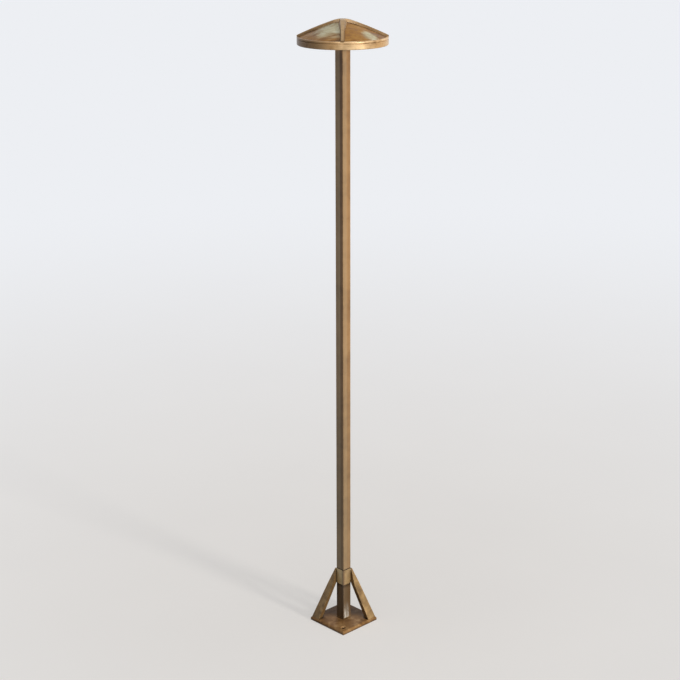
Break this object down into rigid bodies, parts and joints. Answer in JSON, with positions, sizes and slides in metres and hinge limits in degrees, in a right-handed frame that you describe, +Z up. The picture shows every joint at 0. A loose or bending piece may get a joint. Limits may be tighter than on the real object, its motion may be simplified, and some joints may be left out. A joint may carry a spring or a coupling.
{
  "type": "path light",
  "caption": "Slim brass path light: square stem, domed hat with ribs and patinated panels, and a screw-down plate with sloping legs.",
  "frame": {"origin": "middle of the base plate's underside, on the stem's axis", "axes": "+Z up along the stem, X through the two legs, -Y to the front"},
  "size_m": [0.16, 0.16, 1.1566],
  "materials": {
    "base_brass": "aged brass, brown and worn to tan on its edges",
    "stem_brass": "aged brass tube, drawn lengthwise",
    "hat_brass": "aged brass casting, brushed on the rim",
    "patina": "mottled cream, olive and amber patina under clear lacquer",
    "inner_brass": "plain machined brass",
    "thumb_brass": "knurled brass",
    "screw_steel": "darkened stainless steel",
    "liner_white": "satin white paint",
    "lens_glass": "clear pressed glass",
    "seal_rubber": "black moulded rubber",
    "holder_ceramic": "unglazed pressed ceramic",
    "lead_black": "black lead insulation",
    "lead_white": "white lead insulation",
    "cap_plastic": "moulded crimp caps",
    "lamp_plastic": "white moulded lamp base",
    "board_white": "white solder-masked board",
    "diode_yellow": "phosphor-coated diodes"
  },
  "bodies": {
    "base": {"base_plate": "base_brass", "collar": "base_brass", "leg_left": "base_brass", "leg_right": "base_brass", "leg_screws": "screw_steel", "stem_seat": "base_brass", "cable_grommet": "seal_rubber"},
    "set_screw_left": {"set_screw_left": "screw_steel"},
    "set_screw_right": {"set_screw_right": "screw_steel"},
    "stem": {"stem": "stem_brass", "head_fitting": "inner_brass", "fitting_screws": "screw_steel", "lead_wire_a": "lead_black", "lead_wire_b": "lead_white", "wire_connectors": "cap_plastic", "lamp_holder": "holder_ceramic", "holder_screws": "screw_steel", "lens_gasket": "seal_rubber"},
    "lens": {"lens": "lens_glass", "lens_ring": "inner_brass"},
    "lamp": {"lamp_base": "lamp_plastic", "lamp_pins": "inner_brass", "lamp_board": "board_white", "lamp_diodes": "diode_yellow"},
    "hat": {"hat_rim": "hat_brass", "hat_ribs": "hat_brass", "panel_front_left": "patina", "panel_front_right": "patina", "panel_back_left": "patina", "panel_back_right": "patina", "reflector": "liner_white", "rib_screws": "screw_steel", "hat_ring": "inner_brass", "hat_posts": "inner_brass", "post_screws": "screw_steel"},
    "thumbscrew_left": {"thumbscrew_left": "thumb_brass"},
    "thumbscrew_right": {"thumbscrew_right": "thumb_brass"}
  },
  "joints": [
    {"name": "stem_lift", "type": "slide", "parent": "base", "child": "stem", "axis": [0, 0, 1], "range_m": [0, 0.1]},
    {"name": "set_screw_left_turn", "type": "hinge", "parent": "base", "child": "set_screw_left", "pos_m": [-0.009, 0.009, 0.09585], "axis": [-0.7071, 0.7071, 0], "range_deg": [0, 720]},
    {"name": "set_screw_right_turn", "type": "hinge", "parent": "base", "child": "set_screw_right", "pos_m": [0.009, 0.009, 0.09585], "axis": [0.7071, 0.7071, 0], "range_deg": [0, 720]},
    {"name": "hat_lift", "type": "slide", "parent": "stem", "child": "hat", "axis": [0, 0, 1], "range_m": [0, 0.06]},
    {"name": "thumbscrew_left_turn", "type": "hinge", "parent": "hat", "child": "thumbscrew_left", "pos_m": [-0.0315, 0, 1.112], "axis": [-1, 0, 0], "range_deg": [0, 720]},
    {"name": "thumbscrew_right_turn", "type": "hinge", "parent": "hat", "child": "thumbscrew_right", "pos_m": [0.0315, 0, 1.112], "axis": [1, 0, 0], "range_deg": [0, 720]},
    {"name": "lens_turn", "type": "hinge", "parent": "stem", "child": "lens", "pos_m": [0, 0, 1.116], "axis": [0, 0, 1], "range_deg": [0, 540]},
    {"name": "lamp_pull", "type": "slide", "parent": "stem", "child": "lamp", "axis": [0, 0, 1], "range_m": [0, 0.008]}
  ]
}
